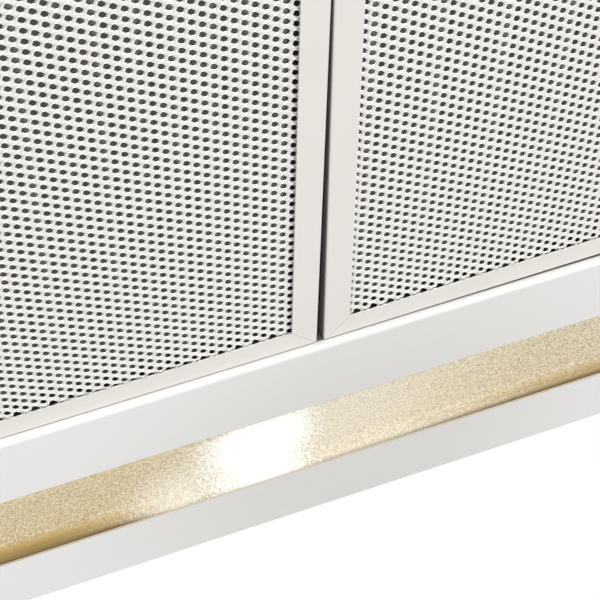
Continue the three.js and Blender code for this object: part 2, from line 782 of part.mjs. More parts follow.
// The lens is a shallow tray, open downward, hooked on the lip at the front and gripped by the rail behind.
function lens() {
  const mid = LENS_SHEET / 2;
  const foot = BOTTOM + SHEET + FIT + mid;
  const front = LIP_Y + FIT + 0.2 + mid;
  const rear = RAIL_FRONT - LENS_PLAY - mid;
  const face = LENS_Z + mid;
  const path = [
    [LIP_Y - LENS_FOOT + 1, foot],
    [front, foot],
    [front, face],
    [rear, face],
    [rear, foot - mid],
  ];
  const half = HALF - SIDE_FLANGE - LENS_END_PLAY;
  const tray = alongX(bentSheet(path, LENS_SHEET, [1.1, LENS_BEND, LENS_BEND]), -half, half);
  const end = (x0) =>
    box(x0, x0 + LENS_SHEET, front - mid, rear + mid, foot - mid, face);
  put("lamp_lens", join(tray, end(-half), end(half - LENS_SHEET)), lens_plastic);
}

// ---------------------------------------------------------------- controls

// A rocker: a shallow V of a key on a pivot, made at its pivot with the pivot along Z.
function rockerShape() {
  const half = SWITCH_WIDTH / 2 - 3;
  const outline = [
    [-half, -4.2],
    [0, -2.6],
    [half, -4.2],
    [half, -1],
    [3, 3],
    [-3, 3],
    [-half, -1],
  ];
  const height = SWITCH_HEIGHT / 2 - 1.8;
  return alongZ(outline, -height, height);
}

function controls() {
  const face = FRONT - FIT; // back of the control plate
  const holes = switchCentres.map((x) =>
    box(
      x - SWITCH_WIDTH / 2 - FIT,
      x + SWITCH_WIDTH / 2 + FIT,
      face - 2 * PLATE_THICKNESS,
      face + 1,
      PLATE_Z - SWITCH_HEIGHT / 2 - FIT,
      PLATE_Z + SWITCH_HEIGHT / 2 + FIT,
    ),
  );
  const plate = box(
    PLATE_X - PLATE_WIDTH / 2,
    PLATE_X + PLATE_WIDTH / 2,
    face - PLATE_THICKNESS,
    face,
    PLATE_Z - PLATE_HEIGHT / 2,
    PLATE_Z + PLATE_HEIGHT / 2,
  );
  put("control_plate", cut(plate, ...holes), grey_plastic);
  const rim = face - PLATE_THICKNESS - FIT; // back of the bezels
  const pivot = rim + 1.6;
  switchCentres.forEach((x, i) => {
    const name = ["fan", "light"][i];
    const body = box(
      x - SWITCH_WIDTH / 2,
      x + SWITCH_WIDTH / 2,
      rim - 1,
      rim + SWITCH_DEPTH,
      PLATE_Z - SWITCH_HEIGHT / 2,
      PLATE_Z + SWITCH_HEIGHT / 2,
    );
    const bezel = box(
      x - SWITCH_WIDTH / 2 - BEZEL,
      x + SWITCH_WIDTH / 2 + BEZEL,
      rim - 1.6,
      rim,
      PLATE_Z - SWITCH_HEIGHT / 2 - BEZEL,
      PLATE_Z + SWITCH_HEIGHT / 2 + BEZEL,
    );
    const cavity = box(
      x - SWITCH_WIDTH / 2 + 1.8,
      x + SWITCH_WIDTH / 2 - 1.8,
      rim - 3,
      rim + 8,
      PLATE_Z - SWITCH_HEIGHT / 2 + 1.4,
      PLATE_Z + SWITCH_HEIGHT / 2 - 1.4,
    );
    put(`${name}_switch_body`, cut(join(body, bezel), cavity), black_plastic);
    const rocker = put(`${name}_rocker`, rockerShape(), black_plastic);
    rocker.position.set(x, pivot, PLATE_Z);
    if (name === "light") rocker.rotation.z = ROCKER_TILT;
  });
}

// ---------------------------------------------------------------- wiring

function wiring() {
  const x0 = BOX_X - BOX_WIDTH / 2;
  const x1 = BOX_X + BOX_WIDTH / 2;
  const y0 = BOX_Y - BOX_DEPTH / 2;
  const y1 = BOX_Y + BOX_DEPTH / 2;
  const top = UNDER_TOP;
  const low = top - BOX_HEIGHT;
  const shell = cut(
    box(x0, x1, y0, y1, low, top),
    box(x0 + SHEET, x1 - SHEET, y0 + SHEET, y1 - SHEET, low - SHEET, top - SHEET),
    rodZ(ENTRY_RADIUS, top - 2 * SHEET, top + SHEET, BOX_X, BOX_Y),
  );
  put("wiring_box", shell, galvanised);
  const cover = join(
    box(x0, x1, y0, y1, low - FIT - SHEET, low - FIT),
    box(x0 + SHEET + FIT, x1 - SHEET - FIT, y0 + SHEET + FIT, y0 + 2 * SHEET + FIT, low - FIT - 0.5, low + 6),
  );
  const pilot = rodZ(COLLAR_SCREW + FIT, low - 2 * SHEET - FIT, low + SHEET, BOX_X, BOX_Y + 20, 8);
  put("wiring_box_cover", cut(cover, pilot), galvanised);
  const held = screw(0, 0, 0, 2 * COLLAR_SCREW, COLLAR_SCREW, 7).rotateX(Math.PI);
  const under = low - 2 * FIT - SHEET;
  put("cover_screw", held.translate(BOX_X, BOX_Y + 20, under), dark_steel);

  const bore = ENTRY_RADIUS - 2.5;
  const skirt = ENTRY_RADIUS - FIT;
  const profile = [
    [bore, top - 12],
    [skirt, top - 12],
    [skirt, FIT],
    [ENTRY_RADIUS + 4, FIT],
    [ENTRY_RADIUS + 4, 5],
    [ENTRY_RADIUS + 1, 9],
    [bore, 9],
    [bore, top - 12],
  ];
  put("cable_clamp", turnedZ(profile, BOX_X, BOX_Y), dark_steel);

  const motorBack = -DUCT_WIDTH / 2 - MOTOR_OFFSET - MOTOR_LENGTH;
  const wall = x1 + FIT;
  const motorLead = [
    [motorBack - FIT, BLOWER_Y + 24, BLOWER_Z + 12],
    [motorBack - 10, BLOWER_Y + 24, BLOWER_Z + 12],
    [(motorBack + wall) / 2 - 0.65, BLOWER_Y + 40, BLOWER_Z + 38],
    [wall + 8, BOX_Y - 8, low + 16],
    [wall, BOX_Y - 8, low + 16],
  ];
  put("motor_lead", tube(motorLead, LEAD_RADIUS, 16), lead_sheath);

  // A height between the lamp's tray and the slope over it.
  const overTray = (share) => TRAY_TOP + share * (slopeAt(LAMP_Y + 20) - TRAY_TOP);
  const lampLead = [
    [socketBack - FIT, LAMP_Y, LAMP_Z],
    [socketBack - 12, LAMP_Y, LAMP_Z],
    [socketBack - 29, LAMP_Y, LAMP_Z + 15],
    [socketBack - 30, LAMP_Y, TRAY_TOP + 2],
    [socketBack - 34, LAMP_Y + 20, overTray(0.51)],
    [socketBack - 60, SLOPE_Y - 30, slopeAt(SLOPE_Y - 30) - 14.3],
    [BOX_X + 90, REAR - 250, -14],
    [BOX_X + 28, REAR - 180, -18],
    [BOX_X, y0 - 14, -24],
    [BOX_X, y0 - FIT, -24],
  ];
  put("lamp_lead", tube(lampLead, LEAD_RADIUS, 44), lead_sheath);

  const switchBack = FRONT - 2 * FIT - PLATE_THICKNESS + SWITCH_DEPTH;
  const switchLead = [
    [PLATE_X - SWITCH_SPACING / 2, switchBack + FIT, PLATE_Z],
    [PLATE_X - SWITCH_SPACING / 2, switchBack + 3, PLATE_Z],
    [PLATE_X - SWITCH_SPACING / 2, switchBack + 22, slopeAt(switchBack + 22) - 10.2],
    [PLATE_X - 60, LAMP_Y + 20, overTray(0.357)],
    [160, SLOPE_Y - 20, slopeAt(SLOPE_Y - 20) - 23.6],
    [CAPACITOR_X, CAPACITOR_Y - 50, -12],
    [CAPACITOR_X - 120, CAPACITOR_Y - 20, -12],
    [BOX_X + 110, REAR - 190, -14],
    [BOX_X + 62, REAR - 110, -22],
    [wall + 10, BOX_Y + 16, -28],
    [wall, BOX_Y + 16, -28],
  ];
  put("switch_lead", tube(switchLead, LEAD_RADIUS, 56), lead_sheath);
}

// ---------------------------------------------------------------- grease filters

const CATCH_OFFSET = 6; // strike's middle behind the filter's front edge
const CATCH_X = 60; // catch and pull ring, outward of each filter's middle
const JAW_GAP = 6; // between the catch's two jaws
const STRIKE_HEAD = 2.4;

// One filter, made with its front edge middle at the origin of its group and its underside at z 0.
function filter(name, x, yaw) {
  const group = new THREE.Group();
  const catchX = Math.sign(x) * CATCH_X;
  const half = FILTER_WIDTH / 2;
  const t = FILTER_SKIN;
  const high = FILTER_THICKNESS;
  const rim = cut(
    box(-half, half, 0, FILTER_DEPTH, 0, high),
    box(
      -half + FILTER_FRAME,
      half - FILTER_FRAME,
      FILTER_FRAME,
      FILTER_DEPTH - FILTER_FRAME,
      -1,
      high + 1,
    ),
    box(-half + t, half - t, t, FILTER_DEPTH - t, t, high - t),
  );
  put(`${name}_filter_frame`, rim, aluminium, group);
  const edge = t + FIT;
  const low = t + FIT;
  const layer = (z) =>
    box(-half + edge, half - edge, edge, FILTER_DEPTH - edge, z, z + MESH_SHEET);
  put(`${name}_filter_mesh_lower`, layer(low), aluminium, group);
  put(`${name}_filter_mesh_upper`, layer(high - low - MESH_SHEET), aluminium, group);
  const trough = low + MESH_SHEET + FIT + CORE_SHEET;
  const crest = high - trough;
  const waves = Array.from({ length: CORE_WAVES + 1 }, (_, k) => [
    -half + edge + 2 + (k * (FILTER_WIDTH - 2 * edge - 4)) / CORE_WAVES,
    k % 2 ? crest : trough,
  ]);
  const core = sheetOutline(roundedPath(waves, CORE_SHEET, 1), CORE_SHEET);
  put(`${name}_filter_core`, alongY(core, edge, FILTER_DEPTH - edge), aluminium, group);

  const post = 8;
  const strike = [
    [0, high + FIT],
    [3.5, high + FIT],
    [3.5, high + FIT + 1],
    [1.2, high + FIT + 1.2],
    [1.2, high + post - 2],
    [STRIKE_HEAD, high + post],
    [1.2, high + post + 2],
    [0, high + post + 2.4],
  ];
  put(`${name}_filter_strike`, turnedZ(strike, catchX, CATCH_OFFSET, 12), galvanised, group);

  // The saddle that holds the pull ring, open along X.
  const legZ = -RING_WIRE - RING_FIT - 0.5;
  const saddleY = CATCH_OFFSET;
  const saddle = cut(
    box(catchX - 6, catchX + 6, saddleY - 3, saddleY + 3, legZ - RING_WIRE - 1, -FIT),
    rodX(RING_WIRE + RING_FIT, catchX - 10, catchX + 10, saddleY, legZ, 12),
  );
  put(`${name}_ring_saddle`, saddle, aluminium, group);

  put(`${name}_pull_ring`, pullRing(catchX, saddleY, legZ), galvanised, group);

  group.position.set(x, FILTER_FRONT + half * Math.sin(Math.abs(yaw)), FILTER_Z);
  group.rotation.z = yaw;
  part.add(group);
}

// A D of wire: a straight leg that turns in the saddle, and a bow that hangs under it.
function pullRing(middle, y, top) {
  const half = RING_WIDTH / 2;
  const corners = [
    [half, top, 2],
    [half, top - RING_DROP, 7],
    [-half, top - RING_DROP, 7],
    [-half, top, 2],
  ];
  const loop = new THREE.CurvePath();
  const at = ([x, z]) => new THREE.Vector3(middle + x, y, z);
  const toward = (from, to, r) => {
    const a = at(from);
    return a.addScaledVector(at(to).sub(a).normalize(), r);
  };
  corners.forEach((corner, i) => {
    const before = corners[(i + 3) % 4];
    const after = corners[(i + 1) % 4];
    const next = after[2];
    loop.add(
      new THREE.QuadraticBezierCurve3(
        toward(corner, before, corner[2]),
        at(corner),
        toward(corner, after, corner[2]),
      ),
    );
    loop.add(new THREE.LineCurve3(toward(corner, after, corner[2]), toward(after, corner, next)));
  });
  return new THREE.TubeGeometry(loop, 44, RING_WIRE, 8, true);
}

// A spring catch on the rail: two jaws that grip the filter's strike.
function filterCatch(name, x) {
  const shelf = FILTER_TOP + 13;
  const inside = RAIL_REAR - SHEET - FIT - MID;
  const middle = FILTER_FRONT + CATCH_OFFSET;
  const strap = alongX(
    bentSheet(
      [
        [inside, BOTTOM + 6],
        [inside, shelf],
        [middle + 6, shelf],
      ],
      SHEET,
      TIGHT_BEND,
    ),
    x - 8,
    x + 8,
  );
  const jaw = (side) => {
    const near = (side * JAW_GAP) / 2;
    const a = x + Math.min(near, near + side * SHEET);
    return box(a, a + SHEET, middle - 4, middle + 4, FILTER_TOP + 2, shelf);
  };
  put(`${name}_filter_catch`, join(strap, jaw(-1), jaw(1)), galvanised);
}

// ---------------------------------------------------------------- the assembly

canopy();
sidePanel("side_panel_left", -1);
sidePanel("side_panel_right", 1);
rearPanel();
crossRail();
ductCollar();
damper();
scroll();
wheel();
motor();
capacitor();
lampTray();
lens();
controls();
wiring();

// The left filter touches the right one's line at the wall side and turns away from it at the front.
const leftReach = (FILTER_WIDTH / 2) * Math.cos(LEFT_YAW);
const rightX = RIGHT_EDGE + FILTER_WIDTH / 2;
const leftX = RIGHT_EDGE - FILTER_GAP - leftReach - FILTER_DEPTH * Math.sin(LEFT_YAW);
filter("right", rightX, 0);
filter("left", leftX, -LEFT_YAW);
filterCatch("right", rightX + CATCH_X);
filterCatch("left", leftX - CATCH_X);

export default part;
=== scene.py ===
import math

import bpy
from mathutils import Matrix, Vector


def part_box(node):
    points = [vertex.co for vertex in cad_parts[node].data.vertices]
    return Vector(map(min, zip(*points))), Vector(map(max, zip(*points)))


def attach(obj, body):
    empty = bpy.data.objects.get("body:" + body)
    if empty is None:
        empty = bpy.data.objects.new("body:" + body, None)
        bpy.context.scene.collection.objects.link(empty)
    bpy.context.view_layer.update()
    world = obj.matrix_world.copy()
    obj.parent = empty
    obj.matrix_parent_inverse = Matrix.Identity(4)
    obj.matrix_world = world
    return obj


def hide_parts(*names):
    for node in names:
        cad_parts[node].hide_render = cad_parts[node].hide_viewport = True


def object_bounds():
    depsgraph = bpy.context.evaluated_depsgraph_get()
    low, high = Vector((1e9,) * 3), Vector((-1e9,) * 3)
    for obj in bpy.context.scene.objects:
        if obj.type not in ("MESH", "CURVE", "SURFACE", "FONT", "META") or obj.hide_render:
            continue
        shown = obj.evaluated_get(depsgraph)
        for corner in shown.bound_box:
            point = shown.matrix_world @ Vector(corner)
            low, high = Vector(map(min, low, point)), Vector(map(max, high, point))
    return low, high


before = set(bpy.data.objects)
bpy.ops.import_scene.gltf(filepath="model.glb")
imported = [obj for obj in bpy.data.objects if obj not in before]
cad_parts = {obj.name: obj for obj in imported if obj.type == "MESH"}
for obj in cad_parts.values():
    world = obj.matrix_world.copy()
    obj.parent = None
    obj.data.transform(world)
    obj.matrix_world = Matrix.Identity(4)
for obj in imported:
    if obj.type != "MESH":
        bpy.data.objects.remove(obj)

cad_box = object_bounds()
MM = 0.001

# ------------------------------------------------------------------ canopy, sides, rear panel, cross rail
# The body is 1 mm steel sheet, bent on a brake and spot welded. It has a semi-gloss white powder coat,
# which flows into a faint orange peel. Shade is painted into the coat's colour on the bends, round the lamp
# and on the rail's flange behind the filters.


class Value:
    """A socket in a material's graph, which can be used in plain arithmetic."""

    def __init__(self, finish, socket):
        self.finish = finish
        self.socket = socket

    def math(self, operation, *terms):
        return self.finish.add("ShaderNodeMath", {"operation": operation}, dict(enumerate(terms)))

    def __add__(self, other):
        return self.math("ADD", self, other)

    def __sub__(self, other):
        return self.math("SUBTRACT", self, other)

    def __rsub__(self, other):
        return self.math("SUBTRACT", other, self)

    def __mul__(self, other):
        return self.math("MULTIPLY", self, other)

    def __truediv__(self, other):
        return self.math("DIVIDE", self, other)

    def __pow__(self, other):
        return self.math("POWER", self, other)

    __radd__ = __add__
    __rmul__ = __mul__

    def root(self):
        return self.math("SQRT", self)

    def ramp(self, low, high):
        """0 at low and 1 at high, with a smooth rise between them."""
        settings = {"interpolation_type": "SMOOTHSTEP"}
        ends = {"Value": self, "From Min": low, "From Max": high}
        return self.finish.add("ShaderNodeMapRange", settings, ends)

    def past(self, origin, start, end):
        """0 to 1 between two distances in millimetres past an origin in metres."""
        return self.ramp(origin + start * MM, origin + end * MM)


class Finish:
    """A material: constants on its shader's own sockets, and nodes for what varies over the surface."""

    def __init__(self, name, constants):
        self.material = bpy.data.materials.new(name)
        self.material.use_nodes = True
        self.nodes = self.material.node_tree.nodes
        self.links = self.material.node_tree.links
        self.shader = self.nodes["Principled BSDF"]
        for socket, value in constants.items():
            self.shader.inputs[socket].default_value = value
        self.place = self.add("ShaderNodeTexCoord", output="Object")

    def add(self, kind, settings=None, inputs=None, output=0):
        node = self.nodes.new(kind)
        for name, value in (settings or {}).items():
            setattr(node, name, value)
        for name, value in (inputs or {}).items():
            self.feed(node.inputs[name], value)
        return Value(self, node.outputs[output])

    def feed(self, socket, value):
        if isinstance(value, Value):
            self.links.new(value.socket, socket)
        else:
            socket.default_value = value

    def set(self, socket, value):
        self.feed(self.shader.inputs[socket], value)

    def axes(self):
        """The place's x, y and z, in metres."""
        split = self.add("ShaderNodeSeparateXYZ", None, {"Vector": self.place})
        return [Value(self, split.socket.node.outputs[i]) for i in range(3)]

    def stretched(self, along):
        """The place, with each axis multiplied."""
        settings = {"operation": "MULTIPLY"}
        return self.add("ShaderNodeVectorMath", settings, {0: self.place, 1: along})

    def noise(self, size, detail=2.0, at=None):
        """Soft cloudy values from 0 to 1, in clouds of a size in millimetres."""
        inputs = {"Vector": at or self.place, "Scale": 1 / (size * MM), "Detail": detail}
        return self.add("ShaderNodeTexNoise", None, inputs)

    def cells(self, size, feature="F1", output="Distance"):
        """Irregular cells of a size in millimetres."""
        inputs = {"Vector": self.place, "Scale": 1 / (size * MM)}
        return self.add("ShaderNodeTexVoronoi", {"feature": feature}, inputs, output)

    def blend(self, first, second, share):
        """A colour between two, from first at 0 to second at 1."""
        inputs = {0: share, 6: first, 7: second}
        return self.add("ShaderNodeMix", {"data_type": "RGBA"}, inputs, 2)

    def relief(self, height, depth):
        """Bumps of a depth in millimetres."""
        bump = self.add("ShaderNodeBump", None, {"Height": height, "Distance": depth * MM})
        self.set("Normal", bump)


def dress(names, finish, edge=0.25):
    """Gives CAD nodes their finish, and rounds their sharp edges by a radius in millimetres."""
    for name in names:
        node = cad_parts[name]
        node.data.materials.clear()
        node.data.materials.append(finish.material)
        node.data.polygons.foreach_set("use_smooth", [True] * len(node.data.polygons))
        weld = node.modifiers.new("weld", "WELD")
        weld.merge_threshold = 0.002 * MM
        if edge:
            bevel = node.modifiers.new("edge", "BEVEL")
            bevel.width = edge * MM
            bevel.segments = 2
            bevel.limit_method = "ANGLE"
            bevel.angle_limit = math.radians(35)
        node.modifiers.new("shading", "WEIGHTED_NORMAL").keep_sharp = True


POWDER_WHITE = (0.805, 0.80, 0.788, 1)
POWDER_SHADE = (0.79, 0.785, 0.773, 1)
POWDER_LAMP_SHADE = (0.68, 0.672, 0.652, 1)  # painted shade round the lamp, where the white is darker
POWDER_DARK_LINE = (0.50, 0.44, 0.37, 1)  # a thin brownish line on the lip's cut edge, and painted shadow along the rail's front bend
POWDER_BEND_SHADE = (0.58, 0.58, 0.58, 1)  # painted shade on the tight bend under the front face
POWDER_FLANGE_SHADE = (0.16, 0.145, 0.125, 1)  # painted shade on the rail's flange, up behind the filters
LAMP_SHADE_X = 0.015  # the painted shade's middle, from the neck's end of the bulb, in metres
LAMP_SHADE_CORE = 0.03  # full painted shade to here
LAMP_SHADE_REACH = 0.19  # and white again from here

powder_coat = Finish("powder_coat", {"Specular IOR Level": 0.45, "Coat Roughness": 0.12})
clean = powder_coat.blend(POWDER_WHITE, POWDER_SHADE, powder_coat.noise(90, 3))
x, y, z = powder_coat.axes()
# Painted shade round the lamp: the white is darkest near the bulb and fades out 190 mm away.
bulb_low, bulb_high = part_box("bulb_glass")
from_bulb = x - (bulb_low.x + LAMP_SHADE_X), y - bulb_low.y, z - bulb_low.z
from_lamp_shade = (from_bulb[0] ** 2 + from_bulb[1] ** 2 + from_bulb[2] ** 2).root()
lamp_shade_share = 1 - from_lamp_shade.ramp(LAMP_SHADE_CORE, LAMP_SHADE_REACH)

# The marks stay on the underside: near the rim's height, behind the front face and between the sides.
hood_front, hood_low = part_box("canopy")[0].y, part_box("canopy")[0].z
hood_side = cad_box[1].x
inside_sides = 1 - (x ** 2).ramp((hood_side - 2.5 * MM) ** 2, (hood_side - 1.5 * MM) ** 2)
underside = (1 - z.past(hood_low, 15, 17)) * y.past(hood_front, 1.2, 3) * inside_sides
coat = powder_coat.blend(clean, POWDER_LAMP_SHADE, lamp_shade_share * underside)

# A thin brownish line runs along the lip's cut edge, 6 mm in from the lens's front.
lip_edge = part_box("lamp_lens")[0].y + 6 * MM
lip_line = y.past(lip_edge, -0.35, -0.05) * (1 - y.past(lip_edge, 0, 1))
coat = powder_coat.blend(coat, POWDER_DARK_LINE, lip_line * underside)

# Painted shade on the rail's rear flange, from just above the filters' faces, where it lies in the gap
# between the filters.
rail_front, rail_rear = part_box("cross_rail")[0].y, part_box("cross_rail")[1].y
filter_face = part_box("right_filter_frame")[0].z
behind = y.past(rail_rear, -1.3, -0.9) * (1 - y.past(rail_rear, 0, 1))
flange_shade = behind * z.past(filter_face, 0.2, 1.2)
coat = powder_coat.blend(coat, POWDER_FLANGE_SHADE, flange_shade * underside)

# Painted shadow along the rail's front bend, where it meets the lens, and painted shade on the bend under the
# front face, where it curves away from the light.
rail_bend_shadow = y.past(rail_front, -1, 0) * (1 - y.past(rail_front, 0.2, 1.1))
coat = powder_coat.blend(coat, POWDER_DARK_LINE, rail_bend_shadow * underside * (1 - lamp_shade_share ** 2))
front_bend_shade = (1 - y.past(hood_front, 0.5, 2.6)) * (1 - z.past(hood_low, 1.5, 4))
powder_coat.set("Base Color", powder_coat.blend(coat, POWDER_BEND_SHADE, front_bend_shade))
powder_coat.set("Roughness", 0.34 + 0.08 * powder_coat.noise(14, 3))
powder_coat.relief(powder_coat.noise(2.6, 1) + 0.35 * powder_coat.noise(0.7, 1), 0.02)
dress(["canopy", "side_panel_left", "side_panel_right", "rear_panel", "cross_rail"], powder_coat)

# ------------------------------------------------------------------ duct collar, rear cover, scroll, fittings
# The duct parts, the scroll, the brackets, the wiring box and the filters' fittings are galvanised: dull
# zinc in flat crystals a few millimetres across. The screws, the clamp and the motor's housing are dark
# oiled steel.
ZINC_LIGHT = (0.60, 0.61, 0.62, 1)
ZINC_DARK = (0.43, 0.44, 0.46, 1)

zinc = Finish("galvanised_sheet", {"Metallic": 0.85})
crystal = zinc.cells(7, "F1", "Color")
flake = zinc.add("ShaderNodeSeparateColor", None, {"Color": crystal})
zinc.set("Base Color", zinc.blend(ZINC_DARK, ZINC_LIGHT, flake * 0.8 + 0.2 * zinc.noise(30)))
zinc.set("Roughness", 0.38 + 0.16 * flake)
zinc.relief(zinc.noise(1.2, 2) + 0.5 * flake, 0.012)
dress(
    [
        "duct_collar",
        "rear_duct_cover",
        "scroll_wrap",
        "scroll_side_left",
        "scroll_side_right",
        "motor_bracket",
        "motor_shaft",
        "capacitor_strap",
        "socket_bracket",
        "wiring_box",
        "wiring_box_cover",
        "left_filter_catch",
        "right_filter_catch",
        "left_filter_strike",
        "right_filter_strike",
        "left_pull_ring",
        "right_pull_ring",
    ],
    zinc,
    0.12,
)

OILED_STEEL = (0.11, 0.11, 0.12, 1)
OILED_STEEL_WORN = (0.24, 0.24, 0.25, 1)

dark_steel = Finish("dark_steel", {"Metallic": 0.75})
worn = dark_steel.noise(6, 4).ramp(0.55, 0.75)
dark_steel.set("Base Color", dark_steel.blend(OILED_STEEL, OILED_STEEL_WORN, worn))
dark_steel.set("Roughness", 0.42 - 0.12 * worn)
dark_steel.relief(dark_steel.noise(0.8, 3), 0.02)
dress([f"collar_screw_{i}" for i in range(1, 5)], dark_steel, 0.1)
dress(["cover_screw", "cable_clamp", "motor_housing"], dark_steel, 0.2)

# ------------------------------------------------------------------ damper flap, blower wheel, lamp tray
# These and the rings' saddles are bare aluminium as it comes from the mill, with fine streaks along its
# length.
MILL_LIGHT = (0.80, 0.79, 0.77, 1)
MILL_DARK = (0.66, 0.655, 0.64, 1)

mill_aluminium = Finish("mill_aluminium", {"Metallic": 0.9})
streak = mill_aluminium.noise(1.4, 3, mill_aluminium.stretched((0.04, 1, 1)))
mill_aluminium.set("Base Color", mill_aluminium.blend(MILL_LIGHT, MILL_DARK, streak))
mill_aluminium.set("Roughness", 0.28 + 0.16 * streak)
mill_aluminium.relief(streak, 0.008)
dress(["damper_flap", "lamp_tray"], mill_aluminium, 0.15)
dress(["blower_wheel"], mill_aluminium, 0)
dress(["left_ring_saddle", "right_ring_saddle"], mill_aluminium, 0.2)

# ------------------------------------------------------------------ inlet rings, controls, capacitor
# Moulded plastic: grey for the inlet rings and the control plate, black for the switches and the
# capacitor's case. The moulds are spark eroded, which leaves a fine matt grain.


def moulded(name, light, dark, roughness):
    plastic = Finish(name, {"Specular IOR Level": 0.4})
    plastic.set("Base Color", plastic.blend(light, dark, plastic.noise(25, 3)))
    plastic.set("Roughness", roughness + 0.1 * plastic.noise(3, 2))
    plastic.relief(plastic.noise(0.35, 1), 0.015)
    return plastic


grey_plastic = moulded("grey_plastic", (0.36, 0.365, 0.37, 1), (0.31, 0.315, 0.32, 1), 0.42)
black_plastic = moulded("black_plastic", (0.030, 0.030, 0.032, 1), (0.020, 0.020, 0.022, 1), 0.38)
dress(["inlet_ring_left", "inlet_ring_right", "control_plate"], grey_plastic, 0.4)
dress(["capacitor"], black_plastic, 1)
dress(["fan_switch_body", "light_switch_body"], black_plastic, 0.3)
dress(["fan_rocker", "light_rocker"], black_plastic, 0.5)

# ------------------------------------------------------------------ leads
# Each lead is two cores in one dull PVC sheath, which stays close to the sheet it passes.
lead_sheath = moulded("lead_sheath", (0.05, 0.05, 0.052, 1), (0.035, 0.035, 0.037, 1), 0.5)
dress(["motor_lead", "lamp_lead", "switch_lead"], lead_sheath, 0)

# ------------------------------------------------------------------ lamp socket and bulb
# A glazed ceramic socket takes a globe bulb with a frosted glass and a brass cap. The lamp is on.
LAMP_WHITE = (1.0, 0.93, 0.80, 1)

glaze = Finish("glazed_ceramic", {"Coat Weight": 0.6, "Coat Roughness": 0.08})
glaze.set("Base Color", glaze.blend((0.80, 0.78, 0.73, 1), (0.72, 0.70, 0.65, 1), glaze.noise(8, 4)))
glaze.set("Roughness", 0.3 + 0.2 * glaze.noise(4, 2))
glaze.relief(glaze.noise(3, 2), 0.03)
dress(["lamp_socket"], glaze, 0.5)

brass = Finish("brass", {"Metallic": 1.0})
tarnish = brass.noise(5, 4)
brass.set("Base Color", brass.blend((0.72, 0.55, 0.27, 1), (0.45, 0.33, 0.16, 1), tarnish))
brass.set("Roughness", 0.25 + 0.25 * tarnish)
brass.relief(tarnish, 0.01)
dress(["bulb_cap"], brass, 0.1)

frosted = Finish("frosted_glass", {"Emission Strength": 1.0, "Specular IOR Level": 0.5})
mottle = frosted.noise(5, 3)
frosted.set("Base Color", frosted.blend((0.88, 0.87, 0.84, 1), (0.82, 0.80, 0.76, 1), mottle))
frosted.set("Emission Color", frosted.blend(LAMP_WHITE, (0.95, 0.84, 0.66, 1), mottle))
frosted.set("Roughness", 0.25 + 0.1 * mottle)
frosted.relief(frosted.noise(0.5, 1), 0.01)
dress(["bulb_glass"], frosted, 0)

# ------------------------------------------------------------------ lamp lens
# One long moulding of warm white plastic, hooked over the front lip, with a fine hammered grain on its face
# and a smooth front wall. The bulb's light through it is painted into its emission by place: a bright patch,
# a wide halo and a small glow, broken into sparks by the grain, and painted shade in a stripe on the front
# wall.
LENS_GLOW = (0.61, 0.505, 0.325, 1)
LENS_GLOW_PALE = (0.63, 0.575, 0.46, 1)  # towards the hood's left end, which has yellowed less
LENS_GLOW_DARK = (0.17, 0.12, 0.04, 1)
# Painted shade in a stripe on the front wall: its glow, its darkest edge, and its own colour there.
LENS_WALL_SHADE = (0.27, 0.17, 0.035, 1)
LENS_WALL_EDGE_SHADE = (0.04, 0.02, 0.0, 1)
LENS_BODY = (0.27, 0.235, 0.17, 1)
LENS_BODY_WALL_SHADE = (0.20, 0.14, 0.05, 1)
LIT = (0.86, 0.89, 0.90, 1)
CRACK = 1.5  # size of the grain's cells
BULB_INSET = 12  # the bright patch's middle, in from the end of the bulb
HOT_CORE = 13  # the bright patch is full to here, in millimetres
HOT_REACH = 44  # and has faded out here
HALO_X = -0.040  # the wide halo's middle, from the bright patch's, in metres
HALO_REACH = 120
HALO_SHARE = 0.3
GLOW_X = 0.046  # the small glow's middle on the other side
GLOW_Y = 0.006  # and in from the lens's front
GLOW_REACH = 36
GLOW_SHARE = 0.36

lens = Finish("grained_lens", {"Emission Strength": 1.0, "Specular IOR Level": 0.35})
lens_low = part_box("lamp_lens")[0]
x, y, z = lens.axes()
bulb_x = bulb_high.x - BULB_INSET * MM
bulb_y = (bulb_low.y + bulb_high.y) / 2


def patch(centre_x, centre_y, core, reach, squeeze, sparkle):
    """Painted light: 1 up to core millimetres from a bright patch's middle and 0 beyond reach, broken up by
    the grain.
    """
    away = ((x - centre_x) ** 2 + (y - centre_y) ** 2 * squeeze).root() / MM
    return 1 - (away + (0.5 - spark) * sparkle).ramp(core, reach)


edges = lens.cells(CRACK, "DISTANCE_TO_EDGE").ramp(0.0, 0.2)
wrinkle = lens.noise(1.7, 3)
spark = edges * 0.6 + 0.4 * wrinkle.ramp(0.38, 0.66)
hot = patch(bulb_x, bulb_y, HOT_CORE, HOT_REACH, squeeze=0.6, sparkle=14)
halo = patch(bulb_x + HALO_X, bulb_y, 0, HALO_REACH, squeeze=0.6, sparkle=16) * HALO_SHARE
side_glow = patch(bulb_x + GLOW_X, lens_low.y + GLOW_Y, 0, GLOW_REACH, squeeze=1.2, sparkle=8) * GLOW_SHARE
light = lens.add("ShaderNodeMath", {"operation": "MAXIMUM"}, {0: hot, 1: halo}) + side_glow
yellowed = lens.blend(LENS_GLOW_PALE, LENS_GLOW, x.past(bulb_x, -210, -50))
glow = lens.blend(LENS_GLOW_DARK, yellowed, spark)

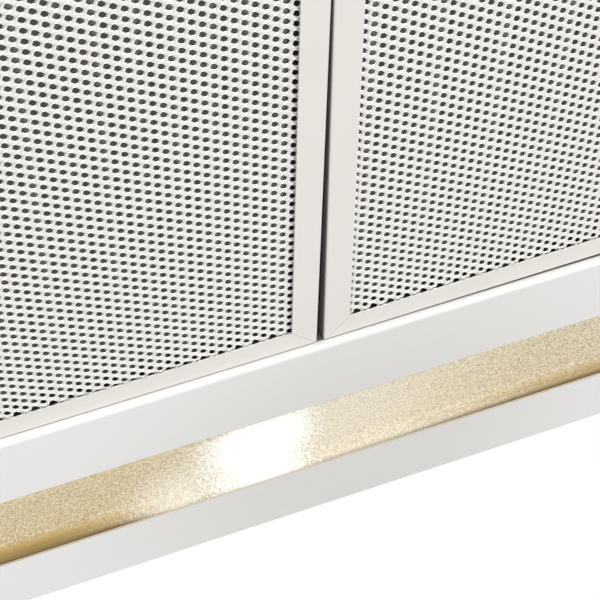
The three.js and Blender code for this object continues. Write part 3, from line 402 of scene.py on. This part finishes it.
# The painted shade on the front wall is a stripe a little wider towards both ends, and the painted light
# drowns it near the bulb.
wider = x.past(bulb_x, 30, 120) * 2.5 * MM + (1 - x.past(bulb_x, -200, -50)) * 1.8 * MM
wall_shade = 1 - (y - wider).past(lens_low.y, 5.4, 8.8)
wall_shade = wall_shade * (1 - light.ramp(0.14, 0.5))
wall_edge_shade = 1 - z.past(lens_low.z, 0.5, 5)
stripe_shade_colour = lens.blend(LENS_WALL_SHADE, LENS_WALL_EDGE_SHADE, wall_edge_shade)
tinted = lens.blend(glow, stripe_shade_colour, wall_shade)
lens.set("Emission Color", lens.blend(tinted, LIT, light))
lens.set("Base Color", lens.blend(LENS_BODY, LENS_BODY_WALL_SHADE, wall_shade))
lens.set("Roughness", 0.35 + 0.15 * wrinkle)
lens.relief((edges + wrinkle * 0.6) * (1 - wall_shade), 0.10)
dress(["lamp_lens"], lens, 0.3)

# ------------------------------------------------------------------ grease filters
# A filter is a U channel of satin aluminium strip, notched, folded into a rectangle and mitred at its
# corners, round two layers of expanded mesh with a corrugated layer between them. Sizes in millimetres.
SKIN = 0.8  # strip's thickness
FACE = 12.4  # channel's face
EDGE = 0.9  # outer bend of the channel
EDGE_STEPS = 4  # flats in a bend
SEAM = 0.1  # half the gap at a mitre
LEFT_YAW = -0.6  # degrees the left filter lies out of square

right_low, right_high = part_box("right_filter_frame")
left_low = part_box("left_filter_frame")[0]
filter_size = right_high - right_low
filter_width = filter_size.x / MM
filter_depth = filter_size.y / MM
filter_height = filter_size.z / MM
half = filter_size.x / 2
yaw = math.radians(LEFT_YAW)
filter_places = {
    "right": Matrix.Translation((right_low.x + half, right_low.y, right_low.z)),
    "left": Matrix.Translation(
        (left_low.x + half * math.cos(yaw), left_low.y - half * math.sin(yaw), left_low.z)
    )
    @ Matrix.Rotation(yaw, 4, "Z"),
}


def build(name, points, faces, finish, place, body, replaced):
    """A mesh in millimetres, put in its place, that rides on a body and stands for CAD nodes."""
    mesh = bpy.data.meshes.new(name)
    mesh.from_pydata([place @ (Vector(p) * MM) for p in points], [], faces)
    mesh.materials.append(finish.material)
    mesh.validate()
    piece = bpy.data.objects.new(name, mesh)
    bpy.context.scene.collection.objects.link(piece)
    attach(piece, body)
    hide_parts(*replaced)


def channel_profile():
    """The U channel's section, as distance in from the frame's edge and height."""
    top = filter_height
    bend = []
    for k in range(EDGE_STEPS + 1):
        turn = math.radians(90 * k / EDGE_STEPS)
        bend.append((EDGE - EDGE * math.sin(turn), EDGE - EDGE * math.cos(turn)))
    outer = [(FACE, 0)] + bend + [(a, top - b) for a, b in reversed(bend)] + [(FACE, top)]
    inner = [(FACE, top - SKIN), (SKIN, top - SKIN), (SKIN, SKIN), (FACE, SKIN)]
    return outer + inner


def mitred_frame():
    """The four sides of a filter's frame, each cut at 45 degrees at both ends."""
    points, faces = [], []
    profile = channel_profile()
    count = len(profile)
    corners = [
        ((-filter_width / 2, 0), (1, 0), (0, 1), filter_width),
        ((filter_width / 2, 0), (0, 1), (-1, 0), filter_depth),
        ((filter_width / 2, filter_depth), (-1, 0), (0, -1), filter_width),
        ((-filter_width / 2, filter_depth), (0, -1), (1, 0), filter_depth),
    ]
    for (x0, y0), (ax, ay), (nx, ny), length in corners:
        start = len(points)
        for far in (False, True):
            for inward, height in profile:
                along = length - inward - SEAM if far else inward + SEAM
                points.append((x0 + ax * along + nx * inward, y0 + ay * along + ny * inward, height))
        for k in range(count):
            after = (k + 1) % count
            faces.append((start + after, start + k, start + count + k, start + count + after))
        faces.append(tuple(start + k for k in range(count)))
        faces.append(tuple(start + count + k for k in reversed(range(count))))
    return points, faces


# The lower layer is expanded metal: slit sheet, pulled open, so that each strand is a tilted ribbon that
# runs in waves and meets its neighbours at the knuckles.
STRAND = (0.98, 14)  # a strand's width, and its tilt in degrees, over and under a hole
STEEP = (2.75, 32)  # and on its short steep runs between holes, where it is drawn wide and turned
GENTLE = (3.15, 9)  # and on its long gentle runs, where it is widest and lies flatter
RIBBON = ((-1, 1), (0, -1), (1, 1))  # its section: an edge, the ridge below and the other edge
GAUGE = 0.45  # sheet's thickness
SWING = 0.88  # how far the pull moves a strand, each way
FINE_RISE = 5.2  # rise between holes that these widths and the swing belong to
FRONT_CUT = 10.9  # the lower layer's front edge, from the frame's
INSET = 2  # the layers' other edges, from the frame's
LOWER_LIFT = 0.75  # from the channel's lower skin up to the lower layer
UPPER_DROP = 1.0  # and from its upper skin down to the upper layer
COARSER = 1.5  # the upper layer's holes, over the lower's


def expanded(width, depth, pitch, rise, slope, drift, base, front):
    """Expanded metal over a rectangle: pitch along x and rise along y between holes, and its two skews."""
    points, faces = [], []
    row = rise / 2
    scale = rise / FINE_RISE
    reach = width * abs(slope)
    half_width = width / 2 - INSET
    low, high = front, depth - INSET
    # A wave's points: share of the pitch along, share of the swing across, width and tilt.
    waves = [(0, 1, STRAND), (0.12, 1, STRAND), (0.25, 0, STEEP)]
    waves += [(0.38, -1, STRAND), (0.5, -1, STRAND), (0.75, 0, GENTLE)]
    first = math.floor((low - reach) / row)
    last = math.ceil((high + reach) / row)
    for k in range(first, last + 1):
        centre = k * row
        shift = (k % 2) * pitch / 2 + drift * centre
        start = math.floor((-half_width - shift) / pitch) - 1
        stop = math.ceil((half_width - shift) / pitch) + 1
        before = None
        for cell in range(start, stop):
            for share, wave, (broad, degrees) in waves:
                tilt = math.radians(degrees)
                x_at = (cell + share) * pitch + shift
                y_at = centre + wave * SWING * scale + slope * x_at
                inside = abs(x_at) <= half_width and low <= y_at <= high
                if not inside:
                    before = None
                    continue
                here = len(points)
                for a, b in RIBBON:
                    wide, thick = a * broad * scale / 2, b * GAUGE / 2
                    dy = wide * math.cos(tilt) - thick * math.sin(tilt)
                    dz = wide * math.sin(tilt) + thick * math.cos(tilt)
                    points.append((x_at, y_at + dy, base + dz))
                if before is not None:
                    for side in range(3):
                        other = (side + 1) % 3
                        faces.append((before + side, here + side, here + other, before + other))
                before = here
    return points, faces


FRAME_LIGHT = (0.885, 0.855, 0.815, 1)
FRAME_DARK = (0.835, 0.80, 0.755, 1)
FRAME_WEB_SHADE = (0.42, 0.39, 0.36, 1)  # painted shade on the channel's upright web, where it lies in the gap between the filters
MESH_LIGHT = (0.95, 0.93, 0.90, 1)
MESH_DARK = (0.85, 0.83, 0.80, 1)

satin_frame = Finish("satin_aluminium", {"Metallic": 0.55})
brushing = satin_frame.noise(0.9, 3, satin_frame.stretched((0.15, 0.15, 1)))
face_metal = satin_frame.blend(FRAME_LIGHT, FRAME_DARK, satin_frame.noise(40, 3))
# Painted shade: the frame is dark above its face, on the channel's upright web.
web_shade = satin_frame.axes()[2].past(right_low.z, 0.9, 2.2)
satin_frame.set("Base Color", satin_frame.blend(face_metal, FRAME_WEB_SHADE, web_shade))
satin_frame.set("Roughness", 0.38 + 0.12 * brushing)
satin_frame.relief(brushing, 0.01)

mesh_aluminium = Finish("expanded_aluminium", {"Metallic": 0.65})
rub = mesh_aluminium.noise(2.5, 3)
mesh_aluminium.set("Base Color", mesh_aluminium.blend(MESH_LIGHT, MESH_DARK, rub))
mesh_aluminium.set("Roughness", 0.3 + 0.2 * rub)
mesh_aluminium.relief(mesh_aluminium.noise(0.6, 2), 0.01)

core_aluminium = Finish("core_aluminium", {"Metallic": 0.6})
CORE_LIGHT = (0.25, 0.225, 0.20, 1)
CORE_DARK = (0.14, 0.125, 0.11, 1)
soiling = core_aluminium.noise(7, 4)
core_aluminium.set("Base Color", core_aluminium.blend(CORE_LIGHT, CORE_DARK, soiling))
core_aluminium.set("Roughness", 0.45 + 0.2 * soiling)
core_aluminium.relief(core_aluminium.noise(1.3, 2), 0.1)

MESH_PITCHES = {
    "right": {"pitch": 8.24, "rise": 5.195, "slope": -0.0244, "drift": 0.0},
    "left": {"pitch": 8.30, "rise": 5.17, "slope": 0.0087, "drift": -0.007},
}
for side, place in filter_places.items():
    body = f"{side}_filter"
    points, faces = mitred_frame()
    build(
        f"{side}_frame",
        points,
        faces,
        satin_frame,
        place,
        body,
        [f"{side}_filter_frame"],
    )
    weave = MESH_PITCHES[side]
    points, faces = expanded(filter_width, filter_depth, base=SKIN + LOWER_LIFT, front=FRONT_CUT, **weave)
    build(
        f"{side}_lower_mesh",
        points,
        faces,
        mesh_aluminium,
        place,
        body,
        [f"{side}_filter_mesh_lower"],
    )
    coarse = {"pitch": weave["pitch"] * COARSER, "rise": weave["rise"] * COARSER, "slope": 0.0, "drift": 0.0}
    top = filter_height - SKIN - UPPER_DROP
    points, faces = expanded(filter_width, filter_depth, base=top, front=INSET, **coarse)
    build(
        f"{side}_upper_mesh",
        points,
        faces,
        mesh_aluminium,
        place,
        body,
        [f"{side}_filter_mesh_upper"],
    )
    dress([f"{side}_filter_core"], core_aluminium, 0)

# ------------------------------------------------------------------ stage
# A pale floor well under the hood, white light all round, and two soft fills: one from below and one
# from the wall side, which picks out the bends.
FLOOR_Z = -1.25
FLOOR_HALF = 6.0

floor_mesh = bpy.data.meshes.new("floor")
corners = [(-1, -1), (1, -1), (1, 1), (-1, 1)]
floor_points = [(a * FLOOR_HALF, b * FLOOR_HALF, FLOOR_Z) for a, b in corners]
floor_mesh.from_pydata(floor_points, [], [(0, 1, 2, 3)])
floor = bpy.data.objects.new("floor", floor_mesh)
bpy.context.scene.collection.objects.link(floor)
floor_paint = Finish("floor_paint", {"Roughness": 0.9, "Specular IOR Level": 0.2})
floor_paint.set("Base Color", (0.77, 0.77, 0.765, 1))
floor_mesh.materials.append(floor_paint.material)

world = bpy.data.worlds.new("studio")
world.use_nodes = True
background = world.node_tree.nodes["Background"]
background.inputs["Color"].default_value = (1, 1, 1, 1)
background.inputs["Strength"].default_value = 1.0
bpy.context.scene.world = world
bpy.context.scene.view_settings.view_transform = "Standard"


def soft_light(name, place, aim, size, watts):
    """A square of even light that faces a point."""
    lamp = bpy.data.lights.new(name, "AREA")
    lamp.size = size
    lamp.energy = watts
    holder = bpy.data.objects.new(name, lamp)
    holder.location = place
    holder.rotation_euler = (Vector(aim) - Vector(place)).to_track_quat("-Z", "Y").to_euler()
    bpy.context.scene.collection.objects.link(holder)
    return holder


soft_light("fill_below", (-0.4, 0.9, -1.15), (0, 0, -0.15), size=1.2, watts=3)
wall_side = soft_light("fill_wall_side", (-0.6, 2.2, -0.34), (0, -0.1, -0.15), size=0.9, watts=39)

# The wall side light is flagged off the hood's back, sides and collar.
flagged = bpy.data.collections.new("flagged")
for name in ("rear_panel", "rear_duct_cover", "side_panel_left", "side_panel_right", "duct_collar"):
    flagged.objects.link(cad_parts[name])
for member in flagged.collection_objects:
    member.light_linking.link_state = "EXCLUDE"
wall_side.light_linking.receiver_collection = flagged

# ------------------------------------------------------------------ camera
# It looks up from behind and below, at the gap between the filters, a little behind their front edges.
LENS_LENGTH = 116.45
CAMERA_DISTANCE = 0.860
AIM = (0.0101, -0.0723)  # x and y on the filters' faces
RIGHT = Vector((-0.93091, 0.01875, -0.36476))
UP = Vector((-0.27836, 0.61018, 0.74175))

back = RIGHT.cross(UP).normalized()
up = back.cross(RIGHT).normalized()
aim = Vector((*AIM, right_low.z))
lens_data = bpy.data.cameras.new("camera")
lens_data.lens = LENS_LENGTH
camera = bpy.data.objects.new("camera", lens_data)
turn = Matrix((RIGHT.normalized(), up, back)).transposed().to_4x4()
camera.matrix_world = Matrix.Translation(aim + back * CAMERA_DISTANCE) @ turn
bpy.context.scene.collection.objects.link(camera)
bpy.context.scene.camera = camera
